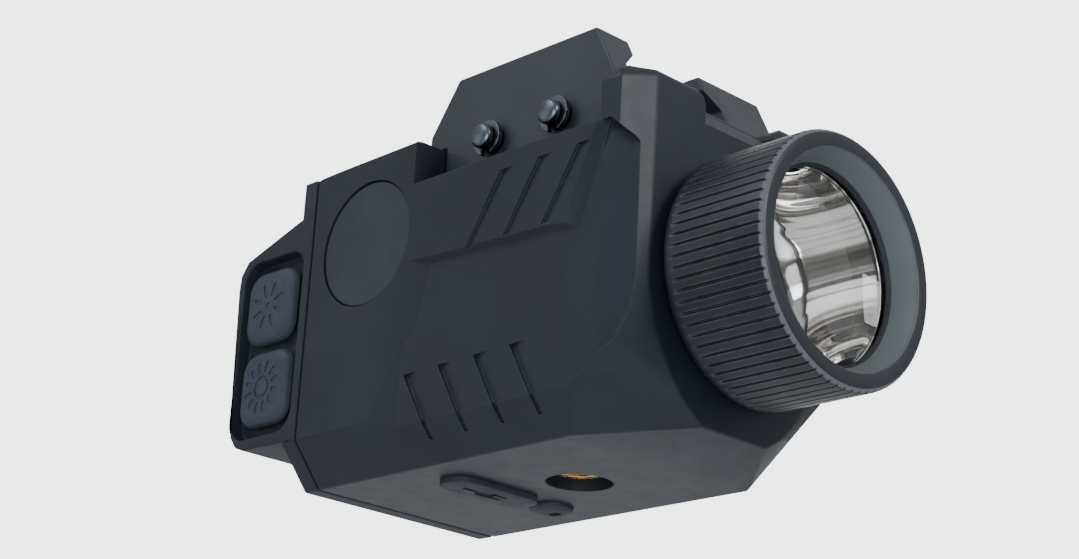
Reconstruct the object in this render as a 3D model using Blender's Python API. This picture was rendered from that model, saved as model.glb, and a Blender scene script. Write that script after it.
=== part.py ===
"""Rail-mounted tactical light, built as separate solids.

+X is the beam, +Y the light's left side and +Z up towards the rail. The origin is below the middle of the
light, on the plane that its lowest face touches. Dimensions are in millimetres and MM turns them into metres.
"""

import math

import bmesh
import bpy
from mathutils import Matrix, Vector

MM = 0.001
GAP = 0.3
WELD = 0.002
SHARP_ANGLE = math.radians(16)

# Housing
HALF_WIDTH = 18.4
BOTTOM_Z = 0.95
BOTTOM_HALF_WIDTH = 14.2
SIDE_LOW_Z = 5.9
SEAM_X = -26.4
FRONT_X = 25.7
REAR_TOP_Z = 38.9
FRONT_TOP_Z = 40.3
CHIN_START_X = 15.3
CORNER_X = 24.7
FACE_HALF_WIDTH = 13.9
PANEL_DEPTH = 0.8
RECESS_X = (-8.5, 21.7)
LEDGE_Z = 33.8
NOTCH_Y = (-6.2, 5.6)
NOTCH_Z = 37.0

# Head and optics
BEAM_Z = 19.0
BEZEL_X = (27.0, 40.7)
BEZEL_RADIUS = 14.1
BEZEL_BORE = 11.75
WINDOW_RADIUS = 11.0
SHOULDER_X = 38.4
FLUTES = 72
FLUTE_DEPTH = 0.45
NECK_RADIUS = 11.3
NECK_END_X = 31.7
FRONT_BORE = 9.9
FRONT_BORE_X = 9.1
REFLECTOR_END_X = 35.8
REFLECTOR_RADIUS = 10.4
REFLECTOR_VERTEX_X = 20.8
REFLECTOR_WALL = 0.6
LED_HOLE_RADIUS = 3.1

# Battery and boards
BATTERY_BORE = 8.8
BATTERY_RADIUS = 8.3
BATTERY_X = (-25.2, 8.6)

# Rear cap and buttons
CAP_REAR_X = -29.0
TAIL_REAR_X = -40.7
CAVITY_HALF_WIDTH = 15.6
POCKET_DEPTH = 1.9
BUTTON_X = -33.8
BUTTON_Z = (24.3, 13.8)
BUTTON_SIZE = (9.6, 9.5)
BUTTON_FACE_Y = 18.3
BUTTON_TRAVEL = 0.6
CAP_SCREWS = ((13.0, 36.6), (11.0, 3.4))

# Rail clamp
JAW_OUTER_Y = 13.9
BED_TOP_Z = 40.6
JAW_TOP_Z = 48.2
PIN_X = (0.0, 10.9)
PIN_Z = 38.5
PIN_HOLE = 1.55
PIN_RADIUS = 1.25
PIN_HEAD_Y = 16.6
KEY_X = (2.95, 8.0)
KEY_Y = (-8.4, 4.8)
BASE_SCREW_X = (-5.2, 17.0)
BASE_SCREW_Y = -2.0

# Underside
PORT_X = -8.8
PORT_Y = -3.1
FLAP_HINGE_Y = 3.8
FLAP_HALF_WIDTH = 2.6
ADJUSTER = (2.1, 0.6)

# Side disc
DISC = (-16.3, 28.3)
DISC_RADIUS = 7.66

X_AXIS = Vector((1, 0, 0))
Y_AXIS = Vector((0, 1, 0))
Z_AXIS = Vector((0, 0, 1))
BEAM = Vector((0, 0, BEAM_Z))


def clear_scene():
    for obj in list(bpy.data.objects):
        bpy.data.objects.remove(obj)


def material(name, colour, roughness, metallic=0.0, transmission=0.0):
    mat = bpy.data.materials.new(name)
    mat.use_nodes = True
    shader = mat.node_tree.nodes["Principled BSDF"]
    shader.inputs["Base Color"].default_value = (*colour, 1.0)
    shader.inputs["Roughness"].default_value = roughness
    shader.inputs["Metallic"].default_value = metallic
    shader.inputs["Transmission Weight"].default_value = transmission
    return mat


def finished(name, bm, mat=None):
    """Makes an object from bm."""
    bmesh.ops.recalc_face_normals(bm, faces=bm.faces)
    mesh = bpy.data.meshes.new(name)
    bm.to_mesh(mesh)
    bm.free()
    mesh.shade_smooth()
    obj = bpy.data.objects.new(name, mesh)
    bpy.context.scene.collection.objects.link(obj)
    if mat:
        mesh.materials.append(mat)
    return obj


def boolean(target, tool, operation):
    """Combines two solids for good, and welds the slivers that the cut leaves."""
    modifier = target.modifiers.new("Boolean", "BOOLEAN")
    modifier.operation = operation
    modifier.object = tool
    evaluated = target.evaluated_get(bpy.context.evaluated_depsgraph_get())
    result = bpy.data.meshes.new_from_object(evaluated)
    target.modifiers.clear()
    bm = bmesh.new()
    bm.from_mesh(result)
    bmesh.ops.remove_doubles(bm, verts=bm.verts, dist=WELD)
    bmesh.ops.dissolve_degenerate(bm, edges=bm.edges, dist=WELD)
    bm.to_mesh(result)
    bm.free()
    target.data = result
    bpy.data.objects.remove(tool)


def cut(target, *tools):
    for tool in tools:
        boolean(target, tool, "DIFFERENCE")


def join(target, *tools):
    for tool in tools:
        boolean(target, tool, "UNION")


def put_origin(obj, point):
    """Moves the object's origin to a point and leaves its shape in place."""
    obj.data.transform(Matrix.Translation(-Vector(point)))
    obj.location = point


def scale_to_metres():
    for obj in bpy.data.objects:
        obj.data.transform(Matrix.Scale(MM, 4))
        obj.location = obj.location * MM
        obj.data.set_sharp_from_angle(angle=SHARP_ANGLE)


def hull(name, points, mat=None):
    bm = bmesh.new()
    for point in points:
        bm.verts.new(point)
    made = bmesh.ops.convex_hull(bm, input=bm.verts)
    bmesh.ops.delete(bm, geom=made["geom_interior"], context="VERTS")
    bmesh.ops.dissolve_limit(bm, angle_limit=math.radians(0.5), verts=bm.verts, edges=bm.edges)
    return finished(name, bm, mat)


def prism(name, outline, axis, low, high, mat=None):
    """Extrudes an outline along axis. Its two coordinates are the other two axes, in X, Y, Z order."""
    along = {"X": (0, 1, 2), "Y": (1, 0, 2), "Z": (2, 0, 1)}[axis]
    bm = bmesh.new()
    verts = []
    for first, second in outline:
        point = [0.0, 0.0, 0.0]
        point[along[0]], point[along[1]], point[along[2]] = low, first, second
        verts.append(bm.verts.new(point))
    face = bm.faces.new(verts)
    made = bmesh.ops.extrude_face_region(bm, geom=[face])
    step = Vector([high - low if i == along[0] else 0.0 for i in range(3)])
    bmesh.ops.translate(bm, vec=step, verts=[v for v in made["geom"] if isinstance(v, bmesh.types.BMVert)])
    return finished(name, bm, mat)


def box(name, low, high, mat=None):
    outline = ((low[0], low[1]), (high[0], low[1]), (high[0], high[1]), (low[0], high[1]))
    return prism(name, outline, "Z", low[2], high[2], mat)


def turned(name, profile, centre, axis, mat=None, steps=48, ring=False):
    """Spins a profile of (distance along axis, radius) points. A ring's profile closes on itself."""
    side = Z_AXIS if axis is not Z_AXIS else X_AXIS
    bm = bmesh.new()
    verts = [bm.verts.new(Vector(centre) + axis * along + side * radius) for along, radius in profile]
    edges = [bm.edges.new(pair) for pair in zip(verts, verts[1:])]
    if ring:
        edges.append(bm.edges.new((verts[-1], verts[0])))
    bmesh.ops.spin(bm, geom=verts + edges, cent=centre, axis=axis, angle=math.tau, steps=steps, use_merge=True)
    bmesh.ops.remove_doubles(bm, verts=bm.verts, dist=1e-4)
    return finished(name, bm, mat)


def stepped(centre, axis, stations, steps=24):
    """A cutter whose stations are (low, high, radius), one after the other along the axis."""
    profile = [(stations[0][0], 0)]
    for low, high, radius in stations:
        profile += [(low, radius), (high, radius)]
    profile.append((stations[-1][1], 0))
    return turned("cutter", profile, centre, axis, steps=steps)


def cylinder(name, centre, axis, low, high, radius, mat=None, steps=48):
    return turned(name, ((low, 0), (low, radius), (high, radius), (high, 0)), centre, axis, mat, steps)


def tube(name, centre, axis, low, high, inner, outer, mat=None, steps=48):
    profile = ((low, inner), (low, outer), (high, outer), (high, inner))
    return turned(name, profile, centre, axis, mat, steps, ring=True)


def torus(name, centre, axis, major, minor, mat, steps=48, sides=8):
    turns = [math.tau * i / sides for i in range(sides)]
    profile = [(minor * math.cos(t), major + minor * math.sin(t)) for t in turns]
    return turned(name, profile, centre, axis, mat, steps, ring=True)


def rounded(centre, size, radius, steps=5):
    """Outline of a rectangle with round corners."""
    outline = []
    for corner, (sx, sy) in enumerate(((1, 1), (-1, 1), (-1, -1), (1, -1))):
        cx = centre[0] + sx * (size[0] / 2 - radius)
        cy = centre[1] + sy * (size[1] / 2 - radius)
        for i in range(steps + 1):
            turn = math.pi / 2 * (corner + i / steps)
            outline.append((cx + radius * math.cos(turn), cy + radius * math.sin(turn)))
    return outline


def coil(name, centre, axis, low, high, radii, wire, turns, mat, sides=6, steps=14):
    """Sweeps a round wire along a helix whose radius goes from radii[0] to radii[1]."""
    side = Z_AXIS if axis is not Z_AXIS else X_AXIS
    other = axis.cross(side)
    bm = bmesh.new()
    rings = []
    count = int(turns * steps)
    for i in range(count + 1):
        part = i / count
        turn = math.tau * turns * part
        out = side * math.cos(turn) + other * math.sin(turn)
        radius = radii[0] + (radii[1] - radii[0]) * part
        middle = Vector(centre) + axis * (low + (high - low) * part) + out * radius
        angles = [math.tau * k / sides for k in range(sides)]
        rings.append([bm.verts.new(middle + (out * math.cos(a) + axis * math.sin(a)) * wire) for a in angles])
    for ring, following in zip(rings, rings[1:]):
        for k in range(sides):
            bm.faces.new((ring[k], ring[(k + 1) % sides], following[(k + 1) % sides], following[k]))
    bm.faces.new(rings[0])
    bm.faces.new(rings[-1])
    return finished(name, bm, mat)


def both_sides(points):
    """Each point and its mirror image across the middle plane."""
    return [(x, sign * y, z) for x, y, z in points for sign in (1, -1)]


# ---- housing ----------------------------------------------------------------------------------------------


def housing_shell():
    """Flat sides, a narrower floor, and a nose whose lower corners are cut back to a small chin."""
    return hull("main_housing", both_sides((
        (SEAM_X, HALF_WIDTH, REAR_TOP_Z),
        (SEAM_X, HALF_WIDTH, SIDE_LOW_Z),
        (SEAM_X, BOTTOM_HALF_WIDTH, BOTTOM_Z),
        (CHIN_START_X, BOTTOM_HALF_WIDTH, BOTTOM_Z),
        (20.1, HALF_WIDTH, SIDE_LOW_Z),
        (23.1, HALF_WIDTH, 10.0),
        (CORNER_X, HALF_WIDTH, 14.0),
        (CORNER_X, HALF_WIDTH, FRONT_TOP_Z),
        (FRONT_X, FACE_HALF_WIDTH, FRONT_TOP_Z),
        (FRONT_X, 14.2, 15.3),
        (FRONT_X, 12.1, 9.5),
        (FRONT_X, 8.8, 4.9),
        (FRONT_X, 5.1, 2.1),
    )))


def side_panel_cutter(side):
    """The shallow sunk panel of one side, open towards the nose and the floor."""
    outline = (
        (-7.0, 24.1), (24.0, 21.9), (30.0, 21.9), (30.0, -1.0), (-11.5, -1.0), (-11.5, 15.2), (-9.6, 20.5),
    )
    floor = HALF_WIDTH - PANEL_DEPTH
    return prism("cutter", outline, "Y", side * floor, side * (HALF_WIDTH + 2))


def main_housing(mat):
    shell = housing_shell()
    groove = NECK_RADIUS - 0.7
    join(shell, stepped(
        BEAM, X_AXIS, ((20, 28.7, NECK_RADIUS), (28.7, 29.5, groove), (29.5, NECK_END_X, NECK_RADIUS)), 48,
    ))
    cut(
        shell,
        box("cutter", (RECESS_X[0], -25, LEDGE_Z), (RECESS_X[1], 25, 50)),
        box("cutter", (RECESS_X[1] - 1, NOTCH_Y[0], NOTCH_Z), (30, NOTCH_Y[1], 50)),
        side_panel_cutter(1),
        side_panel_cutter(-1),
        stepped(BEAM, X_AXIS, ((-40, FRONT_BORE_X, BATTERY_BORE), (FRONT_BORE_X, 40, FRONT_BORE)), 48),
        prism("cutter", rounded((PORT_X, PORT_Y), (4.2, 10.0), 2.0), "Z", -1, 8.6),
        cylinder("cutter", (PORT_X, 6.9, 0), Z_AXIS, -1, 4.4, 1.35, steps=20),
        stepped((*ADJUSTER, 0), Z_AXIS, ((-1, 2.3, 3.9), (2.3, 9.3, 3.3)), 48),
    )
    for side in (1, -1):
        cut(shell, cylinder("cutter", (DISC[0], 0, DISC[1]), Y_AXIS * side, 17.2, 22, DISC_RADIUS + 0.35))
        for y, z in CAP_SCREWS:
            cut(shell, cylinder("cutter", (0, side * y, z), X_AXIS, SEAM_X - 1, -20, 1.3, steps=16))
    for x in BASE_SCREW_X:
        cut(shell, cylinder("cutter", (x, BASE_SCREW_Y, 0), Z_AXIS, 29.5, 35, 1.3, steps=16))
    shell.data.materials.append(mat)


def side_disc(side_name, side, mat):
    name = f"side_disc_{side_name}"
    profile = ((17.5, 0), (17.5, DISC_RADIUS), (18.1, DISC_RADIUS), (18.25, DISC_RADIUS - 0.2), (18.25, 0))
    obj = turned(name, profile, (DISC[0], 0, DISC[1]), Y_AXIS * side, mat, steps=64)
    put_origin(obj, (DISC[0], side * HALF_WIDTH, DISC[1]))


# ---- rear cap ---------------------------------------------------------------------------------------------


def tail_outline():
    """Side view of the tail block: sloping shoulder, round rear corners, flat underside."""
    return (
        (-28.0, 6.0), (-36.6, 6.2), (-38.3, 6.8), (-39.4, 8.2), (-39.8, 10.0),
        (TAIL_REAR_X, 27.4), (-40.5, 29.4), (-39.3, 31.0), (-29.0, 34.3), (-28.0, 34.3),
    )


def rear_cap(mat):
    section = (
        (HALF_WIDTH, REAR_TOP_Z), (-HALF_WIDTH, REAR_TOP_Z), (-HALF_WIDTH, SIDE_LOW_Z),
        (-BOTTOM_HALF_WIDTH, BOTTOM_Z), (BOTTOM_HALF_WIDTH, BOTTOM_Z), (HALF_WIDTH, SIDE_LOW_Z),
    )
    cap = prism("rear_cap", section, "X", CAP_REAR_X, SEAM_X - GAP)
    join(cap, prism("tail", tail_outline(), "Y", -HALF_WIDTH, HALF_WIDTH))
    cut(
        cap,
        box("cutter", (-38.4, -CAVITY_HALF_WIDTH, 8.6), (-20, CAVITY_HALF_WIDTH, 30.2)),
        tube("cutter", BEAM, X_AXIS, SEAM_X - 1.3, SEAM_X + 1, 16.0, 17.2),
    )
    for side in (1, -1):
        pocket = rounded((-33.8, 19.0), (11.6, 22.8), 2.6)
        floor = HALF_WIDTH - POCKET_DEPTH
        cut(cap, prism("cutter", pocket, "Y", side * floor, side * 25))
        for z in BUTTON_Z:
            cut(cap, cylinder("cutter", (BUTTON_X, 0, z), Y_AXIS * side, 14, 25, 2.4, steps=24))
        for y, z in CAP_SCREWS:
            cut(cap, stepped((0, side * y, z), X_AXIS, ((-35, -27.8, 2.0), (-27.8, -20, 1.3))))
    cap.data.materials.append(mat)


def cap_screw(name, y, z, mat):
    profile = ((-28.9, 0), (-28.9, 1.6), (-28.1, 1.75), (-28.1, 1.0), (-21.0, 1.0), (-20.6, 0.6), (-20.6, 0))
    screw = turned(name, profile, (0, y, z), X_AXIS, mat, steps=20)
    cut(screw, prism("cutter", rounded((y, z), (1.2, 1.2), 0.3, 2), "X", -30, -28.5))
    put_origin(screw, (-28.9, y, z))


def button(name, side, z, mat):
    """A rounded square key with a round plunger behind it. Its origin is on its line of travel."""
    low, high = sorted((side * (BUTTON_FACE_Y - 1.1), side * BUTTON_FACE_Y))
    key = prism(name, rounded((BUTTON_X, z), BUTTON_SIZE, 2.4), "Y", low, high)
    plunger_end = BUTTON_FACE_Y - 3.6
    join(key, cylinder("plunger", (BUTTON_X, 0, z), Y_AXIS * side, plunger_end, 17.8, 2.0, steps=24))
    key.data.materials.append(mat)
    put_origin(key, (BUTTON_X, side * BUTTON_FACE_Y, z))


def tactile_switch(name, side, z, mat):
    centre = (BUTTON_X, 0, z)
    low, high = sorted((side * 12.3, side * 13.2))
    body = prism(name, rounded((BUTTON_X, z), (5.0, 5.0), 0.4, 2), "Y", low, high)
    join(body, cylinder("dome", centre, Y_AXIS * side, 13.0, 13.8, 1.5, steps=20))
    body.data.materials.append(mat)


def switch_board(name, side, mat):
    low, high = sorted((side * 11.0, side * 12.0))
    prism(name, rounded((-33.4, 19.0), (8.6, 20.0), 1.0, 3), "Y", low, high, mat)


def rear_pieces(mats):
    rear_cap(mats["anodised"])
    torus("rear_gasket", BEAM + X_AXIS * (SEAM_X - 0.7), X_AXIS, 16.6, 0.28, mats["rubber"])
    for side_name, side in (("right", -1), ("left", 1)):
        for level, (y, z) in zip(("upper", "lower"), CAP_SCREWS):
            cap_screw(f"cap_screw_{level}_{side_name}", side * y, z, mats["steel"])
        for level, z in zip(("upper", "lower"), BUTTON_Z):
            button(f"{level}_button_{side_name}", side, z, mats["rubber"])
            tactile_switch(f"{level}_switch_{side_name}", side, z, mats["steel"])
        switch_board(f"switch_board_{side_name}", side, mats["board"])


# ---- battery and electronics ------------------------------------------------------------------------------


def battery(mat):
    low, high = BATTERY_X
    profile = (
        (low, 0), (low, 7.7), (low + 0.5, BATTERY_RADIUS), (high - 0.9, BATTERY_RADIUS),
        (high - 0.5, 7.6), (high - 0.5, 3.2), (high, 3.0), (high, 0),
    )
    turned("battery_cell", profile, BEAM, X_AXIS, mat, steps=40)


def electronics(mats):
    battery(mats["battery"])
    coil("battery_spring", BEAM, X_AXIS, -27.9, -25.8, (5.2, 2.6), 0.28, 2.5, mats["brass"])
    cylinder("contact_board", BEAM, X_AXIS, -29.6, -28.6, 8.2, mats["board"])
    cylinder("driver_board", BEAM, X_AXIS, 9.6, 10.8, 9.5, mats["board"])
    heat_sink = cylinder("heat_sink", BEAM, X_AXIS, 11.4, 20.3, 9.6, mats["aluminium"])
    cut(heat_sink, cylinder("cutter", (0, 6.0, BEAM_Z), X_AXIS, 5, 25, 1.0, steps=12))
    put_origin(heat_sink, (11.4, 0, BEAM_Z))


# ---- head and optics --------------------------------------------------------------------------------------


def bezel_blank():
    low, high = BEZEL_X
    outer = BEZEL_RADIUS
    profile = (
        (low, BEZEL_BORE), (low, outer - 0.7), (low + 0.7, outer), (high - 0.7, outer), (high, outer - 0.9),
        (high, WINDOW_RADIUS + 0.3), (high - 0.3, WINDOW_RADIUS), (SHOULDER_X, WINDOW_RADIUS),
        (SHOULDER_X, BEZEL_BORE),
    )
    return turned("bezel", profile, BEAM, X_AXIS, steps=FLUTES, ring=True)


def flute_ring(low, high):
    """A ring whose inner face is a zigzag of teeth, which leaves the knurl when it is cut away."""
    outline = []
    for i in range(2 * FLUTES):
        radius = BEZEL_RADIUS + 0.02 if i % 2 else BEZEL_RADIUS - FLUTE_DEPTH
        turn = math.pi * i / FLUTES
        outline.append((radius * math.cos(turn), BEAM_Z + radius * math.sin(turn)))
    ring = prism("cutter", rounded((0, BEAM_Z), (40, 40), 19, 8), "X", low, high)
    core = prism("core", outline, "X", low - 1, high + 1)
    cut(ring, core)
    return ring


def bezel(mat):
    ring = bezel_blank()
    cut(ring, flute_ring(BEZEL_X[0] + 2.0, BEZEL_X[1] - 1.0))
    ring.data.materials.append(mat)
    put_origin(ring, (BEZEL_X[0], 0, BEAM_Z))


def reflector(mat):
    """A parabola of revolution around the emitter, with a flange at the window."""
    focal = REFLECTOR_RADIUS**2 / (REFLECTOR_END_X - REFLECTOR_VERTEX_X)
    radii = [LED_HOLE_RADIUS + (REFLECTOR_RADIUS - LED_HOLE_RADIUS) * i / 8 for i in range(9)]
    bowl = [(REFLECTOR_VERTEX_X + r * r / focal, r) for r in radii]
    back = [(x, r + REFLECTOR_WALL) for x, r in reversed(bowl[:-1])]
    flange = [(REFLECTOR_END_X, 11.35), (REFLECTOR_END_X - 0.7, 11.35), (REFLECTOR_END_X - 0.7, 11.0)]
    turned("reflector", bowl + flange + back, BEAM, X_AXIS, mat, steps=48, ring=True)


def led(mats):
    cylinder("led_board", BEAM, X_AXIS, 20.6, 21.3, 8.6, mats["board"], steps=40)
    package = box("led_emitter", (21.6, -1.75, BEAM_Z - 1.75), (22.2, 1.75, BEAM_Z + 1.75))
    dome = ((22.0, 0), (22.0, 1.5), (22.5, 1.35), (22.9, 0.9), (23.05, 0))
    join(package, turned("dome", dome, BEAM, X_AXIS, steps=20))
    package.data.materials.append(mats["emitter"])


def head(mats):
    bezel(mats["anodised"])
    reflector(mats["mirror"])
    led(mats)
    lens_profile = ((36.15, 0), (36.15, 11.2), (36.35, 11.4), (36.95, 11.4), (37.15, 11.2), (37.15, 0))
    turned("lens", lens_profile, BEAM, X_AXIS, mats["glass"], steps=48)
    tube("lens_gasket", BEAM, X_AXIS, 37.45, 38.1, 10.35, 11.4, mats["rubber"])
    torus("head_oring", BEAM + X_AXIS * 29.1, X_AXIS, 11.17, 0.27, mats["rubber"])


# ---- rail clamp -------------------------------------------------------------------------------------------


def jaw_side_view():
    """Side view that both jaws share: sloping ends, a step over the rear block, a foot in the recess."""
    return (
        (-6.8, JAW_TOP_Z), (-11.2, 41.8), (-11.2, 39.7), (-8.2, 39.7), (-8.2, 34.1),
        (21.4, 34.1), (21.4, 39.2), (19.1, 41.8), (15.9, JAW_TOP_Z),
    )


def fixed_jaw(mat):
    """The rail bed and the jaw on the right side, in one piece."""
    hook = (
        (-JAW_OUTER_Y, 34.1), (-JAW_OUTER_Y, JAW_TOP_Z), (-8.7, JAW_TOP_Z), (-8.7, 46.2), (-10.9, 44.0),
        (-10.9, 34.1),
    )
    jaw = prism("fixed_jaw", hook, "X", -15, 25)
    boolean(jaw, prism("tool", jaw_side_view(), "Y", -20, 20), "INTERSECT")
    join(jaw, box("bed", (-8.2, -12, 34.1), (21.4, 8.6, BED_TOP_Z)))
    cut(jaw, *[cylinder("cutter", (x, 0, PIN_Z), Y_AXIS, -20, 20, PIN_HOLE, steps=24) for x in PIN_X])
    groove_low = (KEY_X[0] - GAP, KEY_Y[0] - GAP, 38.4)
    cut(jaw, box("cutter", groove_low, (KEY_X[1] + GAP, KEY_Y[1] + GAP, 50)))
    for x in BASE_SCREW_X:
        cut(jaw, stepped((x, BASE_SCREW_Y, 0), Z_AXIS, ((30, 38.4, 1.3), (38.4, 45, 2.3))))
    jaw.data.materials.append(mat)


def moving_jaw(mat):
    """The spring-loaded jaw on the left side. Its hook reaches over the rail bed."""
    hook = (
        (JAW_OUTER_Y, 34.1), (JAW_OUTER_Y, JAW_TOP_Z), (3.1, JAW_TOP_Z), (3.1, 46.2), (5.3, 44.0),
        (5.3, BED_TOP_Z + GAP), (8.9, BED_TOP_Z + GAP), (8.9, 34.1),
    )
    jaw = prism("moving_jaw", hook, "X", -15, 25)
    boolean(jaw, prism("tool", jaw_side_view(), "Y", -20, 20), "INTERSECT")
    cut(jaw, *[stepped((x, 0, PIN_Z), Y_AXIS, ((0, 10.2, PIN_HOLE), (10.2, 20, 2.75))) for x in PIN_X])
    jaw.data.materials.append(mat)
    put_origin(jaw, (5.45, JAW_OUTER_Y, PIN_Z))


def clamp_pin(name, x, mat):
    profile = (
        (-16.4, 0), (-16.4, 1.15), (-16.05, 1.5), (-15.5, 1.5), (-15.5, 0.9), (-14.2, 0.9), (-14.2, PIN_RADIUS),
        (PIN_HEAD_Y, PIN_RADIUS), (PIN_HEAD_Y, 2.3), (17.8, 2.3), (18.1, 2.0), (18.1, 0),
    )
    pin = turned(name, profile, (x, 0, PIN_Z), Y_AXIS, mat, steps=24)
    cut(pin, box("cutter", (x - 5, 17.4, PIN_Z - 0.4), (x + 5, 20, PIN_Z + 0.4)))
    put_origin(pin, (x, -JAW_OUTER_Y, PIN_Z))


def retaining_ring(name, x, mat):
    ring = tube(name, (x, 0, PIN_Z), Y_AXIS, -15.2, -14.5, 1.2, 2.15, mat, steps=24)
    cut(ring, box("cutter", (x - 0.7, -20, PIN_Z - 5), (x + 0.7, -10, PIN_Z)))
    put_origin(ring, (x, -14.85, PIN_Z))


def base_screw(name, x, mat):
    profile = ((30.0, 0), (30.0, 1.0), (38.7, 1.0), (38.7, 2.0), (40.2, 2.0), (40.2, 0))
    screw = turned(name, profile, (x, BASE_SCREW_Y, 0), Z_AXIS, mat, steps=20)
    cut(screw, prism("cutter", rounded((x, BASE_SCREW_Y), (1.8, 1.8), 0.5, 2), "Z", 39.2, 42))
    put_origin(screw, (x, BASE_SCREW_Y, 40.2))


def clamp(mats):
    fixed_jaw(mats["anodised"])
    moving_jaw(mats["anodised"])
    key = box("rail_key", (KEY_X[0], KEY_Y[0], 38.7), (KEY_X[1], KEY_Y[1], 42.1), mats["steel"])
    put_origin(key, (sum(KEY_X) / 2, 0, BED_TOP_Z))
    for place, pin_x, screw_x in zip(("rear", "front"), PIN_X, BASE_SCREW_X):
        clamp_pin(f"clamp_pin_{place}", pin_x, mats["steel"])
        retaining_ring(f"retaining_ring_{place}", pin_x, mats["steel"])
        centre = (pin_x, 0, PIN_Z)
        coil(f"jaw_spring_{place}", centre, Y_AXIS, 10.75, 16.05, (1.85, 1.85), 0.2, 3.5, mats["steel"])
        base_screw(f"base_screw_{place}", screw_x, mats["steel"])


# ---- underside --------------------------------------------------------------------------------------------


def port_flap(mat):
    """The rubber flap over the charging socket, with its origin on the hinge line."""
    middle_y = (FLAP_HINGE_Y - 0.2 - 9.9) / 2
    length = FLAP_HINGE_Y - 0.2 + 9.9
    outline = rounded((PORT_X, middle_y), (2 * FLAP_HALF_WIDTH, length), 2.5)
    flap = prism("port_flap", outline, "Z", 0.0, 0.65)
    join(flap, prism("plug", rounded((PORT_X, PORT_Y), (2.0, 7.6), 0.9, 3), "Z", 0.4, 2.2))
    flap.data.materials.append(mat)
    put_origin(flap, (PORT_X, FLAP_HINGE_Y, 0.33))


def underside(mats):
    port_flap(mats["rubber"])
    anchor = prism("flap_anchor", rounded((PORT_X, 6.95), (2 * FLAP_HALF_WIDTH, 5.3), 2.4), "Z", 0.0, 0.65)
    join(anchor, cylinder("stem", (PORT_X, 6.9, 0), Z_AXIS, 0.4, 4.0, 1.0, steps=20))
    anchor.data.materials.append(mats["rubber"])
    socket = prism("charge_socket", rounded((PORT_X, PORT_Y), (3.2, 9.0), 1.5), "Z", 2.6, 8.2)
    cut(socket, prism("cutter", rounded((PORT_X, PORT_Y), (2.6, 8.4), 1.2), "Z", 0, 7.6))
    join(socket, box("tongue", (PORT_X - 0.35, PORT_Y - 3.3, 3.2), (PORT_X + 0.35, PORT_Y + 3.3, 7.9)))
    socket.data.materials.append(mats["steel"])
    profile = ((1.8, 0), (1.8, 2.4), (2.1, 2.6), (2.6, 3.0), (8.6, 3.0), (8.9, 2.7), (8.9, 0))
    adjuster = turned("set_screw", profile, (*ADJUSTER, 0), Z_AXIS, mats["brass"], steps=36)
    cut(adjuster, cylinder("cutter", (*ADJUSTER, 0), Z_AXIS, 0, 5.0, 1.73, steps=6))
    put_origin(adjuster, (*ADJUSTER, 2.3))


def build():
    clear_scene()
    mats = {
        "anodised": material("anodised", (0.035, 0.042, 0.052), 0.5, 0.6),
        "rubber": material("rubber", (0.03, 0.035, 0.045), 0.75),
        "steel": material("steel", (0.08, 0.085, 0.09), 0.35, 0.9),
        "aluminium": material("aluminium", (0.7, 0.7, 0.72), 0.35, 1.0),
        "brass": material("brass", (0.75, 0.55, 0.2), 0.3, 1.0),
        "board": material("board", (0.02, 0.09, 0.05), 0.5),
        "battery": material("battery", (0.1, 0.2, 0.4), 0.4),
        "mirror": material("mirror", (0.95, 0.95, 0.95), 0.04, 1.0),
        "glass": material("glass", (1.0, 1.0, 1.0), 0.02, 0.0, 1.0),
        "emitter": material("emitter", (0.85, 0.75, 0.2), 0.4),
    }
    main_housing(mats["anodised"])
    side_disc("right", -1, mats["rubber"])
    side_disc("left", 1, mats["rubber"])
    rear_pieces(mats)
    electronics(mats)
    head(mats)
    clamp(mats)
    underside(mats)
    scale_to_metres()


build()
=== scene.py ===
"""Detailed visual model of the rail-mounted light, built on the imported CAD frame.

Lengths are in millimetres in the frame's axes (+X beam, +Y left, +Z up) and MM turns them into metres.
"""

import math

import bmesh
import bpy
from mathutils import Matrix, Vector


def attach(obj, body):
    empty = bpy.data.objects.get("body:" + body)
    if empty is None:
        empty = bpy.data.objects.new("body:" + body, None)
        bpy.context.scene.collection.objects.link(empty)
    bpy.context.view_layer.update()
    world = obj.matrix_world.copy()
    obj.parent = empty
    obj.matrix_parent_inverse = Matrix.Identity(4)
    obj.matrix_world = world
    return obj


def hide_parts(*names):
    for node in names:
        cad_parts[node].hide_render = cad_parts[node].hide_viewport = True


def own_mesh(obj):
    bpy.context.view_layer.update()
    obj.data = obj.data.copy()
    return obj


MM = 0.001
BEAM_HEIGHT = 0.019
WELD = 0.004
SOFT_EDGE = math.radians(11)
X_AXIS = Vector((1, 0, 0))
Y_AXIS = Vector((0, 1, 0))
Z_AXIS = Vector((0, 0, 1))

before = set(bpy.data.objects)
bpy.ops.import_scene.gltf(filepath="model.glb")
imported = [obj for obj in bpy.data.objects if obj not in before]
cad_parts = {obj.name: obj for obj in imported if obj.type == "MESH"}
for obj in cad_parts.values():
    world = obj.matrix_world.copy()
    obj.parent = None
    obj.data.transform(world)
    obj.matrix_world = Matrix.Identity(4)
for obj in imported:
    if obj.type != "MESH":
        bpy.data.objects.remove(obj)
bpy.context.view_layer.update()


# ---- mesh helpers --------------------------------------------------------------------------------


def raw(bm, name="tool"):
    """An object made of bm, still in millimetres."""
    bmesh.ops.recalc_face_normals(bm, faces=bm.faces)
    mesh = bpy.data.meshes.new(name)
    bm.to_mesh(mesh)
    bm.free()
    obj = bpy.data.objects.new(name, mesh)
    bpy.context.scene.collection.objects.link(obj)
    return obj


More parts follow.
